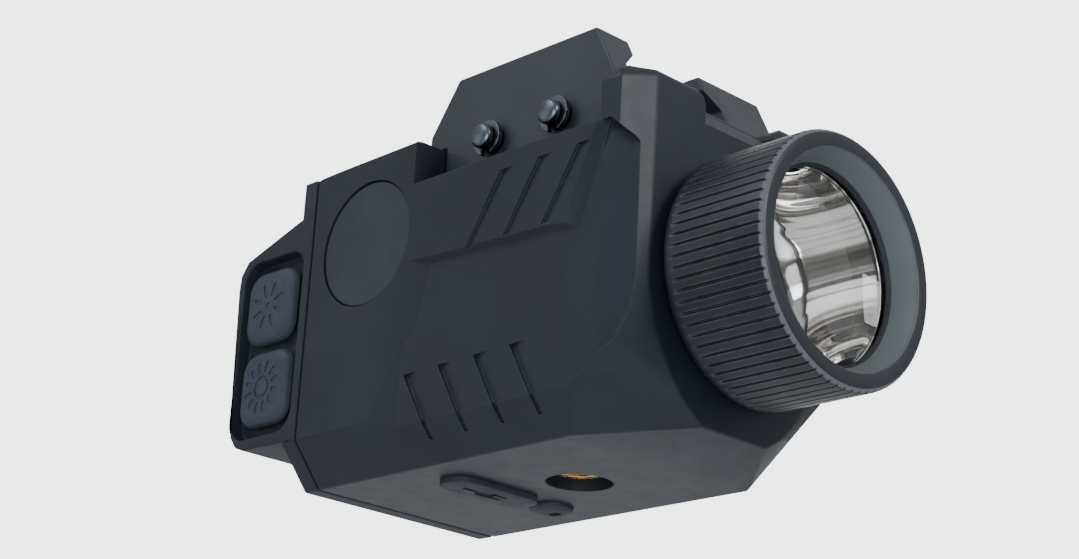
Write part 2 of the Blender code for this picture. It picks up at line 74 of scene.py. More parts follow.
def boolean(target, tool, operation):
    modifier = target.modifiers.new("Boolean", "BOOLEAN")
    modifier.operation = operation
    modifier.object = tool
    evaluated = target.evaluated_get(bpy.context.evaluated_depsgraph_get())
    result = bpy.data.meshes.new_from_object(evaluated)
    target.modifiers.clear()
    bm = bmesh.new()
    bm.from_mesh(result)
    bmesh.ops.remove_doubles(bm, verts=bm.verts, dist=WELD)
    bmesh.ops.dissolve_degenerate(bm, edges=bm.edges, dist=WELD)
    bm.to_mesh(result)
    bm.free()
    target.data = result
    bpy.data.objects.remove(tool)


def cut(target, *tools):
    for tool in tools:
        boolean(target, tool, "DIFFERENCE")


def join(target, *tools):
    for tool in tools:
        boolean(target, tool, "UNION")


def hull(points):
    bm = bmesh.new()
    for point in points:
        bm.verts.new(point)
    made = bmesh.ops.convex_hull(bm, input=bm.verts)
    bmesh.ops.delete(bm, geom=made["geom_interior"], context="VERTS")
    bmesh.ops.dissolve_limit(bm, angle_limit=math.radians(0.5), verts=bm.verts, edges=bm.edges)
    return raw(bm)


def placed(axis, along, first, second):
    """A point from its place along axis and its two other coordinates, in X, Y, Z order."""
    point = [first, second]
    point.insert("XYZ".index(axis), along)
    return point


def loft(axis, sections):
    """Joins outlines that have equal numbers of points. A section is (place along axis, outline)."""
    bm = bmesh.new()
    rings = [[bm.verts.new(placed(axis, at, *p)) for p in outline] for at, outline in sections]
    count = len(rings[0])
    for ring, following in zip(rings, rings[1:]):
        for i in range(count):
            j = (i + 1) % count
            bm.faces.new((ring[i], ring[j], following[j], following[i]))
    bm.faces.new(rings[0])
    bm.faces.new(rings[-1])
    return raw(bm)


def prism(outline, axis, low, high):
    return loft(axis, ((low, outline), (high, outline)))


def box(low, high):
    outline = ((low[0], low[1]), (high[0], low[1]), (high[0], high[1]), (low[0], high[1]))
    return prism(outline, "Z", low[2], high[2])


def rounded(centre, size, radius, steps=8):
    outline = []
    for corner, (sx, sy) in enumerate(((1, 1), (-1, 1), (-1, -1), (1, -1))):
        cx = centre[0] + sx * (size[0] / 2 - radius)
        cy = centre[1] + sy * (size[1] / 2 - radius)
        for i in range(steps + 1):
            turn = math.pi / 2 * (corner + i / steps)
            outline.append((cx + radius * math.cos(turn), cy + radius * math.sin(turn)))
    return outline


def turned(profile, centre, axis, steps=96, ring=False):
    """Spins a profile of (distance along axis, radius) points. A ring's profile closes on itself."""
    side = Z_AXIS if axis.z == 0 else X_AXIS
    bm = bmesh.new()
    verts = [bm.verts.new(Vector(centre) + axis * along + side * radius) for along, radius in profile]
    edges = [bm.edges.new(pair) for pair in zip(verts, verts[1:])]
    if ring:
        edges.append(bm.edges.new((verts[-1], verts[0])))
    bmesh.ops.spin(
        bm, geom=verts + edges, cent=centre, axis=axis, angle=math.tau, steps=steps, use_merge=True,
    )
    bmesh.ops.remove_doubles(bm, verts=bm.verts, dist=1e-4)
    return raw(bm)


def stepped(centre, axis, stations, steps=64):
    """A round tool whose stations are (low, high, radius), one after the other along the axis."""
    profile = [(stations[0][0], 0)]
    for low, high, radius in stations:
        profile += [(low, radius), (high, radius)]
    profile.append((stations[-1][1], 0))
    return turned(profile, centre, axis, steps)


def soften(obj, width):
    """Rounds the edges of an outer form before anything is cut into it."""
    bm = bmesh.new()
    bm.from_mesh(obj.data)
    edges = [edge for edge in bm.edges if edge.calc_face_angle(0) > SOFT_EDGE]
    bmesh.ops.bevel(
        bm, geom=edges, offset=width, segments=3, profile=0.5, affect="EDGES", clamp_overlap=True,
    )
    bm.to_mesh(obj.data)
    bm.free()


def piece(obj, name, body, nodes, mat, bevel=0.0, angle=24, weighted=False):
    """Finishes a piece: metres, rounded edges, smooth shading, material, and its place in the frame."""
    obj.name = name
    obj.data.name = name
    obj.data.transform(Matrix.Scale(MM, 4))
    obj.data.materials.clear()
    obj.data.materials.append(mat)
    for poly in obj.data.polygons:
        poly.material_index = 0
    obj.data.shade_smooth()
    if bevel:
        modifier = obj.modifiers.new("Bevel", "BEVEL")
        modifier.width = bevel * MM
        modifier.segments = 2
        modifier.limit_method = "ANGLE"
        modifier.angle_limit = math.radians(angle)
        modifier.use_clamp_overlap = False
        modifier.harden_normals = True
    else:
        obj.data.set_sharp_from_angle(angle=math.radians(angle))
    if weighted:
        modifier = obj.modifiers.new("Flat faces", "WEIGHTED_NORMAL")
        modifier.keep_sharp = True
        modifier.weight = 100
    if nodes:
        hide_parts(*nodes)
    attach(obj, body)
    return obj


# ---- materials -----------------------------------------------------------------------------------


class Tree:
    """Builds a material's nodes. Every pattern runs in object space, in metres."""

    def __init__(self, name):
        self.material = bpy.data.materials.new(name)
        self.material.use_nodes = True
        self.tree = self.material.node_tree
        self.shader = self.tree.nodes["Principled BSDF"]
        self.place = self.tree.nodes.new("ShaderNodeTexCoord").outputs["Object"]

    def node(self, kind, inputs=None, **settings):
        made = self.tree.nodes.new("ShaderNode" + kind)
        for key, value in settings.items():
            setattr(made, key, value)
        for key, value in (inputs or {}).items():
            self.feed(made.inputs[key], value)
        return made

    def feed(self, socket, value):
        if isinstance(value, bpy.types.NodeSocket):
            self.tree.links.new(value, socket)
        else:
            socket.default_value = value

    def set(self, **inputs):
        for key, value in inputs.items():
            self.feed(self.shader.inputs[key.replace("_", " ")], value)

    def stretched(self, scale):
        return self.node("Mapping", {"Vector": self.place, "Scale": scale}).outputs["Vector"]

    def noise(self, scale, detail, rough=0.5, at=None):
        made = self.node("TexNoise", {
            "Vector": at or self.place, "Scale": scale, "Detail": detail, "Roughness": rough,
        })
        return made.outputs["Fac"]

    def levels(self, value, low, high, to_low, to_high):
        made = self.node("MapRange", {
            "Value": value, "From Min": low, "From Max": high, "To Min": to_low, "To Max": to_high,
        })
        return made.outputs["Result"]

    def mix(self, factor, first, second):
        made = self.node("Mix", data_type="RGBA")
        for index, value in ((0, factor), (6, first), (7, second)):
            self.feed(made.inputs[index], value)
        return made.outputs[2]

    def bump(self, height, distance, strength, below=None):
        inputs = {"Height": height, "Distance": distance, "Strength": strength}
        if below:
            inputs["Normal"] = below
        return self.node("Bump", inputs).outputs["Normal"]

    def edges(self, radius):
        """1 on outer edges and inner creases, 0 on flat ground."""
        rounded_normal = self.node("Bevel", {"Radius": radius}, samples=4).outputs["Normal"]
        ground = self.node("NewGeometry").outputs["Normal"]
        likeness = self.node("VectorMath", {0: rounded_normal, 1: ground}, operation="DOT_PRODUCT")
        return self.levels(likeness.outputs["Value"], 0.995, 0.90, 0.0, 1.0)

    def beam_offset(self):
        """Where a point lies relative to the beam axis, across the beam."""
        middle = (0, 0, BEAM_HEIGHT)
        centred = self.node("VectorMath", {0: self.place, 1: middle}, operation="SUBTRACT").outputs[0]
        return self.node("VectorMath", {0: centred, 1: (0, 1, 1)}, operation="MULTIPLY").outputs[0]

    def beam_radius(self):
        return self.node("VectorMath", {0: self.beam_offset()}, operation="LENGTH").outputs["Value"]

    def along_beam(self):
        return self.node("SeparateXYZ", {0: self.place}).outputs[0]

    def multiply(self, first, second):
        return self.node("Math", {0: first, 1: second}, operation="MULTIPLY").outputs["Value"]


ZONE_EDGE = 0.0001
FOIL_START = 0.0070


def rgb(red, green, blue):
    return (red, green, blue, 1.0)


def scaled(colour, factor):
    return (*(channel * factor for channel in colour[:3]), 1.0)


def coated_metal(
    name, dark, light, roughness, grain=0.00002, worn_and_glinting_amount=0.35, gloss=0.2, worn_and_glinting_tone=0.05, mouth=None, lip=None,
):
    """Hard-anodised or powder-coated metal: a fine pebbled skin, clouding, and paler edges, which are worn
    paint with a painted highlight.

    mouth is (radius, colour) for a paler zone close to the beam axis, painted light on the lit inner wall
    of the mouth, and lip is (x, radius, colour) for a paler zone in front of x and outside a radius, a
    painted highlight on the front edge. Both are in metres and fade over ZONE_EDGE.
    """
    t = Tree(name)
    cloud = t.noise(90, 4, 0.6)
    base = t.mix(t.levels(cloud, 0.3, 0.7, 0, 1), dark, light)
    # Paler edges: worn paint together with a painted edge highlight, which is strongest on the bezel.
    worn_and_glinting_edges = t.multiply(t.edges(0.00022), t.levels(t.noise(700, 3), 0.35, 0.65, 0.2 * worn_and_glinting_amount, worn_and_glinting_amount))
    if mouth:
        # Painted light: a paler colour on the bezel's inner mouth that stands in for the light falling on
        # that wall.
        near_axis = t.levels(t.beam_radius(), mouth[0] - ZONE_EDGE, mouth[0] + ZONE_EDGE, 1, 0)
        base = t.mix(near_axis, base, mouth[1])
    if lip:
        # Painted highlight: a paler band on the front edge of the flutes that stands in for their glints.
        ahead = t.levels(t.along_beam(), lip[0], lip[0] + ZONE_EDGE, 0, 1)
        outside = t.levels(t.beam_radius(), lip[1], lip[1] + ZONE_EDGE, 0, 1)
        base = t.mix(t.multiply(ahead, outside), base, lip[2])
    t.set(Base_Color=t.mix(worn_and_glinting_edges, base, rgb(worn_and_glinting_tone * 0.94, worn_and_glinting_tone, worn_and_glinting_tone * 1.04)))
    t.set(Roughness=t.levels(t.noise(350, 5, 0.65), 0.3, 0.7, roughness - 0.03, roughness + 0.035))
    soft = t.node("Bevel", {"Radius": 0.00016}, samples=6).outputs["Normal"]
    skin = t.bump(t.noise(5200, 2, 0.6), grain, 0.55, soft)
    t.set(Normal=t.bump(t.noise(240, 2), 0.00003, 0.15, skin), Specular_IOR_Level=gloss)
    return t.material


def soft_rubber(name, dark, light, roughness=0.62):
    t = Tree(name)
    dust = t.levels(t.noise(2600, 4, 0.7), 0.52, 0.72, 0, 0.5)
    base = t.mix(t.levels(t.noise(160, 4), 0.3, 0.7, 0, 1), dark, light)
    t.set(Base_Color=t.mix(dust, base, scaled(light, 1.7)), Specular_IOR_Level=0.25)
    t.set(Roughness=t.levels(t.noise(500, 3), 0.3, 0.7, roughness - 0.05, roughness + 0.1))
    t.set(Normal=t.bump(t.noise(3600, 3, 0.6), 0.00002, 0.4))
    return t.material


def bare_metal(name, colour, roughness, stretch=(1, 1, 1)):
    """Machined metal, with fine tool lines packed closer along the axes where stretch is large."""
    t = Tree(name)
    lines = t.noise(2500, 4, 0.7, t.stretched(stretch))
    t.set(Metallic=1.0, Base_Color=t.mix(t.levels(lines, 0.3, 0.7, 0, 1), scaled(colour, 0.75), colour))
    t.set(Roughness=t.levels(lines, 0.3, 0.7, roughness - 0.07, roughness + 0.1))
    t.set(Normal=t.bump(lines, 0.000006, 0.5))
    return t.material


def circuit_board(name):
    """Green solder mask with copper pads that show as pale dots on a fine grid."""
    t = Tree(name)
    cells = t.node("TexVoronoi", {"Vector": t.place, "Scale": 620.0, "Randomness": 0.35})
    pads = t.levels(cells.outputs["Distance"], 0.16, 0.20, 1, 0)
    tracks = t.node("TexWave", {"Vector": t.place, "Scale": 260.0, "Distortion": 5.0, "Detail": 1.0})
    on_track = t.levels(tracks.outputs["Fac"], 0.62, 0.7, 0, 1)
    mask = t.mix(on_track, rgb(0.01, 0.07, 0.03), rgb(0.02, 0.12, 0.05))
    t.set(Base_Color=t.mix(pads, mask, rgb(0.65, 0.6, 0.45)), Metallic=pads)
    t.set(Roughness=t.levels(pads, 0, 1, 0.32, 0.28), Normal=t.bump(pads, 0.00002, 0.5))
    return t.material


def battery_wrap(name):
    """A blue printed sleeve that ends in bare foil at the front of the cell."""
    t = Tree(name)
    x = t.node("SeparateXYZ", {"Vector": t.place}).outputs["X"]
    foil = t.levels(x, FOIL_START, FOIL_START + 0.0004, 0, 1)
    shade = t.mix(t.levels(t.noise(120, 3), 0.3, 0.7, 0, 1), rgb(0.03, 0.09, 0.2), rgb(0.05, 0.13, 0.28))
    t.set(Base_Color=t.mix(foil, shade, rgb(0.75, 0.75, 0.74)), Metallic=foil)
    t.set(Roughness=t.levels(t.noise(900, 3), 0.3, 0.7, 0.22, 0.36))
    t.set(Normal=t.bump(t.noise(380, 3), 0.00006, 0.35))
    return t.material


def reflector_mirror(name):
    """Vapour-coated aluminium. Its ripples and its dark painted reflection streaks run out from the lamp
    like spokes.
    """
    t = Tree(name)
    spoke = t.node("VectorMath", {0: t.beam_offset()}, operation="NORMALIZE").outputs[0]
    ripple = t.noise(2.4, 2, 0.5, spoke)
    # Painted reflection: dark streaks in the mirror's colour, running spoke-wise out from the lamp.
    painted_reflection_streaks = t.levels(t.noise(3.6, 2, 0.5, spoke), 0.49, 0.60, 0, 1)
    haze = t.noise(420, 4)
    clear = t.mix(haze, rgb(0.97, 0.95, 0.9), rgb(1.0, 0.985, 0.95))
    t.set(Metallic=1.0, Base_Color=t.mix(painted_reflection_streaks, clear, rgb(0.17, 0.15, 0.13)))
    t.set(Roughness=t.levels(haze, 0.3, 0.7, 0.02, 0.07))
    t.set(Normal=t.bump(ripple, 0.0012, 0.3, t.bump(t.noise(260, 2), 0.00004, 0.12)))
    return t.material


def lens_glass(name):
    """Clear glass with faint smears."""
    t = Tree(name)
    smear = t.noise(300, 4, 0.6)
    t.set(Transmission_Weight=1.0, IOR=1.5)
    t.set(Base_Color=t.mix(smear, rgb(0.99, 1, 0.995), rgb(0.96, 0.98, 1)))
    t.set(Roughness=t.levels(smear, 0.4, 0.75, 0.0, 0.02))
    return t.material


def emitter(name):
    """Yellow phosphor with a fine powder grain."""
    t = Tree(name)
    grain = t.noise(4200, 3, 0.7)
    t.set(Base_Color=t.mix(grain, rgb(0.72, 0.6, 0.08), rgb(0.95, 0.86, 0.3)))
    t.set(Roughness=t.levels(grain, 0.3, 0.7, 0.3, 0.5), Normal=t.bump(grain, 0.00001, 0.4))
    return t.material


# Where the painted light of the bezel's mouth and the painted highlight of its lip begin.
MOUTH_RADIUS = 0.01203
LIP_X = 0.04015
LIP_RADIUS = 0.01362

MATS = {
    "housing": coated_metal("housing_coat", rgb(0.0055, 0.008, 0.0115), rgb(0.009, 0.0125, 0.0175), 0.46),
    # The cap's coat is about twice as pale as the housing's. This is painted light that brightens the rear
    # block and the button recess.
    "cap": coated_metal(
        "cap_coat", rgb(0.0125, 0.0155, 0.0195), rgb(0.0175, 0.0215, 0.027), 0.52, gloss=0.14,
    ),
    "jaw": coated_metal(
        "jaw_coat", rgb(0.011, 0.0145, 0.018), rgb(0.017, 0.021, 0.026), 0.46, worn_and_glinting_amount=0.5, gloss=0.3,
    ),
    # The bezel's paler edges and lip are painted highlight over some real wear, and its mouth is painted
    # light.
    "bezel": coated_metal(
        "bezel_coat", rgb(0.0065, 0.0085, 0.0115), rgb(0.0105, 0.013, 0.017), 0.4,
        worn_and_glinting_amount=0.6, gloss=0.25, worn_and_glinting_tone=0.12,
        mouth=(MOUTH_RADIUS, rgb(0.074, 0.084, 0.087)), lip=(LIP_X, LIP_RADIUS, rgb(0.06, 0.066, 0.07)),
    ),
    "disc": coated_metal(
        "disc_skin", rgb(0.0165, 0.0198, 0.0238), rgb(0.0235, 0.028, 0.033), 0.66, 0.00004, 0.1,
    ),
    "button": soft_rubber("button_skin", rgb(0.016, 0.021, 0.03), rgb(0.024, 0.03, 0.041)),
    "rubber": soft_rubber("seal_rubber", rgb(0.005, 0.006, 0.008), rgb(0.009, 0.0105, 0.013)),
    "flap": soft_rubber("flap_rubber", rgb(0.010, 0.0125, 0.017), rgb(0.016, 0.0195, 0.025)),
    "steel": bare_metal("dark_steel", rgb(0.095, 0.105, 0.12), 0.3),
    "aluminium": bare_metal("turned_aluminium", rgb(0.78, 0.78, 0.79), 0.34, (1, 14, 14)),
    "brass": bare_metal("turned_brass", rgb(0.9, 0.68, 0.26), 0.22, (1, 1, 12)),
    "board": circuit_board("solder_mask"),
    "battery": battery_wrap("cell_wrap"),
    "mirror": reflector_mirror("mirror_coat"),
    "glass": lens_glass("lens_glass"),
    "emitter": emitter("phosphor"),
    "ceramic": soft_rubber("ceramic", rgb(0.7, 0.7, 0.66), rgb(0.8, 0.8, 0.76), 0.4),
}


# ---- housing -------------------------------------------------------------------------------------

WIDE = 18.4
SIDE_LOW = 5.9
SUNK = 17.6
FLOOR = 0.78
FLOOR_HALF = 14.2
SEAM = -26.4
FRONT = 25.7
REAR_TOP = 38.9
NOSE_TOP = 40.4
LEDGE = 33.8
RECESS = (-8.5, 21.7)
BEAM = Vector((0, 0, 19.0))
NECK_RADIUS = 11.3
DISC = (-16.3, 28.3)
DISC_RADIUS = 7.66
ADJUSTER = (2.1, 0.6)
PORT = (-8.8, -3.1)
CAP_SCREWS = ((13.0, 36.6), (11.0, 3.4))
BASE_SCREWS = (-5.2, 17.0)
BASE_SCREW_Y = -2.0
SCREW_HOLE = 1.3
BEYOND = 25


def both_sides(points):
    return [(x, sign * y, z) for x, y, z in points for sign in (1, -1)]


def housing_shell():
    """The outer form. The big lower facets run from a curve on the sides to the outline of the nose."""
    return hull(both_sides((
        (SEAM, WIDE, REAR_TOP), (SEAM, WIDE, SIDE_LOW), (SEAM, FLOOR_HALF, FLOOR),
        (15.4, FLOOR_HALF, FLOOR), (15.6, 16.7, 3.9), (18.6, WIDE, SIDE_LOW),
        (20.4, WIDE, 7.0), (22.9, WIDE, 10.0), (24.1, WIDE, 13.8),
        (24.5, WIDE, 18.0), (24.4, WIDE, 38.2), (RECESS[0], WIDE, 39.17),
        (24.1, 18.0, 39.2), (23.7, 17.0, 40.0), (23.3, 15.8, NOSE_TOP), (24.6, 13.2, NOSE_TOP),
        (FRONT, 13.9, 39.3), (25.5, 13.85, 39.85), (25.1, 13.6, 40.25),
        (FRONT, 14.2, 19.2), (FRONT, 14.15, 15.3), (FRONT, 13.0, 11.2), (FRONT, 12.1, 9.4),
        (FRONT, 10.5, 6.8), (FRONT, 8.84, 4.9), (FRONT, 7.2, 3.4), (FRONT, 5.1, 2.1),
    )))


def sunk_level(side):
    """What lies outside the sunk level of one side. In front the level turns in towards the nose."""
    outline = (
        (-9.4, -3), (-9.5, 14.4), (-7.2, 16.6), (-5.4, 23.5), (2.2, 23.2), (14.3, 22.8), (18.6, 22.25),
        (22.2, 32.9), (22.5, 33.6), (22.9, 33.7), (23.4, 33.5), (24.3, 32.7), (25.0, 31.6), (25.5, 30.2),
        (26.2, 27), (30, 20), (30, -3),
    )
    turn_in = ((-20, SUNK), (21.2, SUNK), (22.3, 17.3), (23.4, 16.78), (27.5, 14.44), (27.5, 26), (-20, 26))
    plan = [(x, side * y) for x, y in turn_in]
    tool = prism(outline, "Y", side * 10, side * BEYOND)
    boolean(tool, prism(plan, "Z", -5, 40), "INTERSECT")
    return tool


def sunk_bank(side):
    """The slope round the sunk level: narrow above, broad behind, and soft in front of the slots."""
    front = ((23.2, 33.3), (24.4, 31.8), (24.4, -3))
    foot = (
        (-9.4, -3), (-9.5, 14.4), (-7.2, 16.6), (-5.4, 23.5),
        (2.2, 23.2), (14.3, 22.8), (18.6, 22.25), (22.5, 34.1), *front,
    )
    rim = (
        (-13.3, -3), (-13.6, 15.2), (-11.9, 20.3), (-8.8, 24.3),
        (2.2, 23.8), (14.3, 23.4), (17.0, 23.05), (21.2, 34.1), *front,
    )
    above = [(r[0] + (r[0] - f[0]) * 0.25, r[1] + (r[1] - f[1]) * 0.25) for r, f in zip(rim, foot)]
    return loft("Y", ((side * (SUNK + 0.02), foot), (side * WIDE, rim), (side * (WIDE + 0.2), above)))


def slot(side, level, top_rear, run, drop, top_width, foot_width):
    """A vent slot: a rear wall that leans back and a floor that ramps up to the surface in front."""
    x, z = top_rear
    points = []
    for dx, dz, width, depth in ((0, 0, top_width, 0.45), (run, drop, foot_width, 0.3)):
        low, high = side * (level - depth), side * (level + 0.6)
        points += [(x + dx, low, z + dz), (x + dx + 0.3, low, z + dz), (x + dx - 0.4, high, z + dz)]
        points.append((x + dx + width * (1 + 0.6 / depth), high, z + dz))
    return hull(points)


def slot_tail(side, start, end):
    """Carries a lower slot over the edge and on to the slanted face below."""
    points = []
    for x, y, z in (start, end):
        for depth, width in ((-0.35, 0.55), (2.0, 1.0)):
            points += [(x, side * (y + depth), z), (x + width, side * (y + depth), z)]
    return hull(points)


def side_relief(shell, side):
    cut(shell, sunk_level(side), sunk_bank(side))
    for i in range(3):
        cut(shell, slot(side, WIDE, (6.35 + 6.0 * i, 31.8), -5.0, -8.1, 2.1, 1.3))
    for i in range(4):
        x, z = -8.5 + 5.75 * i, 10.9 + 0.1 * i
        cut(shell, slot(side, SUNK, (x, z), 3.5, 5.0 - z, 2.2, 1.5))
        cut(shell, slot_tail(side, (x + 3.45, SUNK, 5.15), (x + 3.5, 16.05, 3.1)))
    centre = (DISC[0], 0, DISC[1])
    cut(shell, stepped(centre, Y_AXIS * side, ((17.2, 22, DISC_RADIUS + 0.12),)))


def nose_notch(shell):
    """The wall in front of the clamp is open in the middle, with a ramped sill and rounded shoulders."""
    ramp = ((27, 34.71), (23.9, 38.5), (20, 38.5), (20, 45), (27, 45))
    shoulders = (
        (-8.9, 41), (-7.4, 40.1), (-6.6, 39.4), (-6.2, 38.6), (-6.2, 37.5),
        (5.6, 37.5), (5.6, 38.6), (6.0, 39.4), (6.8, 40.1), (8.3, 41),
    )
    cut(shell, prism(ramp, "Y", -6.2, 5.6))
    tool = prism(shoulders, "X", 20, 27)
    boolean(tool, prism(((20, 38.7), (27, 38.7), (27, 45), (20, 45)), "Y", -20, 20), "INTERSECT")
    cut(shell, tool)


def left_cheek():
    """The plane that trims the lower front edge of the left side."""
    start = Vector((19.2, 17.6, 7.47))
    along = Vector((-1.5, 1.82, 0.66)).normalized() * 30
    across = Vector((0, 10.08, 10.37)).normalized() * 30
    outward = along.cross(across).normalized() * 12
    corners = [start + along * a + across * b for a in (-1, 1) for b in (-1, 1)]
    return hull(corners + [corner + outward for corner in corners])


def housing():
    shell = housing_shell()
    soften(shell, 0.3)
    cut(shell, left_cheek())
    neck = ((20, 28.7, NECK_RADIUS), (28.7, 29.5, NECK_RADIUS - 0.7), (29.5, 31.7, NECK_RADIUS))
    join(shell, stepped(BEAM, X_AXIS, neck, 96))
    cut(shell, box((RECESS[0], -BEYOND, LEDGE), (RECESS[1], BEYOND, 50)))
    nose_notch(shell)
    for side in (-1, 1):
        side_relief(shell, side)
    cut(
        shell,
        stepped(BEAM, X_AXIS, ((-40, 9.1, 8.8), (9.1, 40, 9.9)), 96),
        prism(rounded(PORT, (4.2, 10.0), 2.0), "Z", -1, 8.6),
        stepped((PORT[0], 6.9, 0), Z_AXIS, ((-1, 4.4, 1.35),)),
        stepped((*ADJUSTER, 0), Z_AXIS, ((-1, 2.3, 3.9), (2.3, 9.3, 3.3))),
    )
    for side in (1, -1):
        for y, z in CAP_SCREWS:
            cut(shell, stepped((0, side * y, z), X_AXIS, ((SEAM - 1, -20, SCREW_HOLE),), 32))
    for x in BASE_SCREWS:
        cut(shell, stepped((x, BASE_SCREW_Y, 0), Z_AXIS, ((29.5, 35, SCREW_HOLE),), 32))
    piece(
        shell, "housing_body", "housing", ["main_housing"], MATS["housing"],
        angle=32, weighted=True,
    )


def side_discs():
    profile = (
        (17.5, 0), (17.5, 7.6), (17.6, DISC_RADIUS), (18.05, DISC_RADIUS),
        (18.2, 7.55), (18.22, 6.9), (18.25, 0),
    )
    for name, side in (("right", -1), ("left", 1)):
        disc = turned(profile, (DISC[0], 0, DISC[1]), Y_AXIS * side, 128)
        piece(disc, f"disc_{name}", "housing", [f"side_disc_{name}"], MATS["disc"])


# ---- rear cap and buttons ------------------------------------------------------------------------

BUTTON_X = -33.8
BUTTON_Z = (24.3, 13.8)
BUTTON_FACE = 18.3
MARK_DEPTH = 0.12
POCKET_FLOOR = 16.5


def rear_cap():
    section = (
        (WIDE, REAR_TOP), (-WIDE, REAR_TOP), (-WIDE, SIDE_LOW),
        (-FLOOR_HALF, FLOOR), (FLOOR_HALF, FLOOR), (WIDE, SIDE_LOW),
    )
    tail = (
        (-28.0, 6.0), (-36.6, 6.2), (-38.3, 6.8), (-39.4, 8.2), (-39.8, 10.0),
        (-40.7, 27.4), (-40.5, 29.4), (-39.3, 31.0), (-29.0, 34.3), (-28.0, 34.3),
    )
    cap = prism(section, "X", -29.0, SEAM - 0.3)
    join(cap, prism(tail, "Y", -WIDE, WIDE))
    groove = ((SEAM - 1.3, 16.0), (SEAM - 1.3, 17.2), (SEAM + 1, 17.2), (SEAM + 1, 16.0))
    cut(cap, box((-38.4, -15.6, 8.6), (-20, 15.6, 30.2)), turned(groove, BEAM, X_AXIS, ring=True))
    for side in (1, -1):
        pocket = rounded((BUTTON_X, BEAM.z), (11.6, 22.8), 2.6)
        cut(cap, prism(pocket, "Y", side * POCKET_FLOOR, side * BEYOND))
        for z in BUTTON_Z:
            cut(cap, stepped((BUTTON_X, 0, z), Y_AXIS * side, ((14, BEYOND, 2.4),), 48))
        for y, z in CAP_SCREWS:
            hole = ((-35, -27.8, 2.0), (-27.8, -20, SCREW_HOLE))
            cut(cap, stepped((0, side * y, z), X_AXIS, hole, 32))
    piece(cap, "cap_body", "housing", ["rear_cap"], MATS["cap"], 0.22)


def ray(centre, side, turn, inner, outer, width):
    """A tool for one lens-shaped ray of a mark."""
    out = Vector((math.cos(turn), math.sin(turn)))
    across = Vector((-out.y, out.x)) * width / 2
    outline = []
    for edge in (1, -1):
        for i in range(6):
            part = i / 6 if edge > 0 else 1 - i / 6
            bulge = 0.45 + 0.55 * math.sin(math.pi * part)
            outline.append(out * (inner + (outer - inner) * part) + across * edge * bulge)
    outline = [(centre[0] + p.x, centre[1] + p.y) for p in outline]
    return prism(outline, "Y", side * (BUTTON_FACE - MARK_DEPTH), side * (BUTTON_FACE + 1))


def sun_mark(key, centre, side, rays, inner, outer, width, groove):
    """Sinks a plain sun mark into a key: rays round a groove, or round a dot if the groove starts at 0."""
    low, high = BUTTON_FACE - MARK_DEPTH, BUTTON_FACE + 1
    middle = (centre[0], 0, centre[1])
    if groove[0] > 0:
        profile = ((low, groove[0]), (low, groove[1]), (high, groove[1]), (high, groove[0]))
        cut(key, turned(profile, middle, Y_AXIS * side, 40, ring=True))
    else:
        cut(key, stepped(middle, Y_AXIS * side, ((low, high, groove[1]),), 24))
    for i in range(rays):
        cut(key, ray(centre, side, math.tau * (i + 0.5) / rays, inner, outer, width))


def button(name, side, z, shift, mark):
    """A crowned rubber key: a flared foot, soft shoulders, and its mark sunk into the face."""
    centre = (BUTTON_X + shift, z)
    stations = (
        (17.2, 9.1, 2.4), (17.3, 9.1, 2.4), (17.75, 8.9, 2.4),
        (18.0, 8.5, 2.3), (18.2, 7.9, 2.1), (BUTTON_FACE, 7.0, 1.9),
    )
    sections = [(side * y, rounded(centre, (size, size + 0.3), radius, 10)) for y, size, radius in stations]
    key = loft("Y", sections)
    sun_mark(key, centre, side, *mark)
    join(key, stepped((BUTTON_X, 0, z), Y_AXIS * side, ((14.7, 17.4, 2.0),), 48))
    piece(key, f"key_{name}", name, [name], MATS["button"], angle=30, weighted=True)


def buttons():
    for side_name, side in (("right", -1), ("left", 1)):
        button(f"upper_button_{side_name}", side, BUTTON_Z[0], -0.6, (8, 1.2, 3.1, 0.55, (0, 0.42)))
        button(f"lower_button_{side_name}", side, BUTTON_Z[1], -0.3, (12, 1.8, 3.35, 0.72, (1.0, 1.45)))


# ---- head ----------------------------------------------------------------------------------------

BEZEL_RADIUS = 14.1
BEZEL_FRONT = 40.7
BEZEL_BORE = 11.75
FLUTES = 72


def bezel():
    """A fluted ring: narrow grooves between broad lands, a smooth collar behind and a coned mouth."""
    per_flute = 12
    depth = 0.36
    around = FLUTES * per_flute
    stations = (
        (27.0, 13.3, 0), (27.25, 13.75, 0), (27.7, 14.05, 0), (28.2, BEZEL_RADIUS, 0),
        (28.5, BEZEL_RADIUS, 0.35), (28.9, BEZEL_RADIUS, 0.85), (29.3, BEZEL_RADIUS, 1),
        (34.0, BEZEL_RADIUS, 1), (39.8, BEZEL_RADIUS, 1), (40.12, 14.05, 1), (40.38, 13.9, 1),
        (40.58, 13.7, 1), (40.68, 13.5, 0), (BEZEL_FRONT, 13.35, 0), (BEZEL_FRONT, 12.15, 0),
        (40.66, 12.05, 0), (40.55, 11.98, 0), (37.82, 11.04, 0), (37.74, 11.08, 0), (38.3, 11.5, 0),
        (38.3, BEZEL_BORE, 0), (27.0, BEZEL_BORE, 0),
    )
    bm = bmesh.new()
    rings = []
    for x, radius, fluted in stations:
        ring = []
        for i in range(around):
            phase = (i % per_flute) / per_flute
            groove = max(0.0, (math.cos(math.tau * phase) - 0.5) / 0.5)
            reach = min(radius, BEZEL_RADIUS - depth * fluted * groove)
            turn = math.tau * i / around
            ring.append(bm.verts.new((x, reach * math.cos(turn), BEAM.z + reach * math.sin(turn))))
        rings.append(ring)
    for ring, following in zip(rings, rings[1:] + rings[:1]):
        for i in range(around):
            j = (i + 1) % around
            bm.faces.new((ring[i], ring[j], following[j], following[i]))
    piece(raw(bm), "bezel_ring", "bezel", ["bezel"], MATS["bezel"], angle=28)


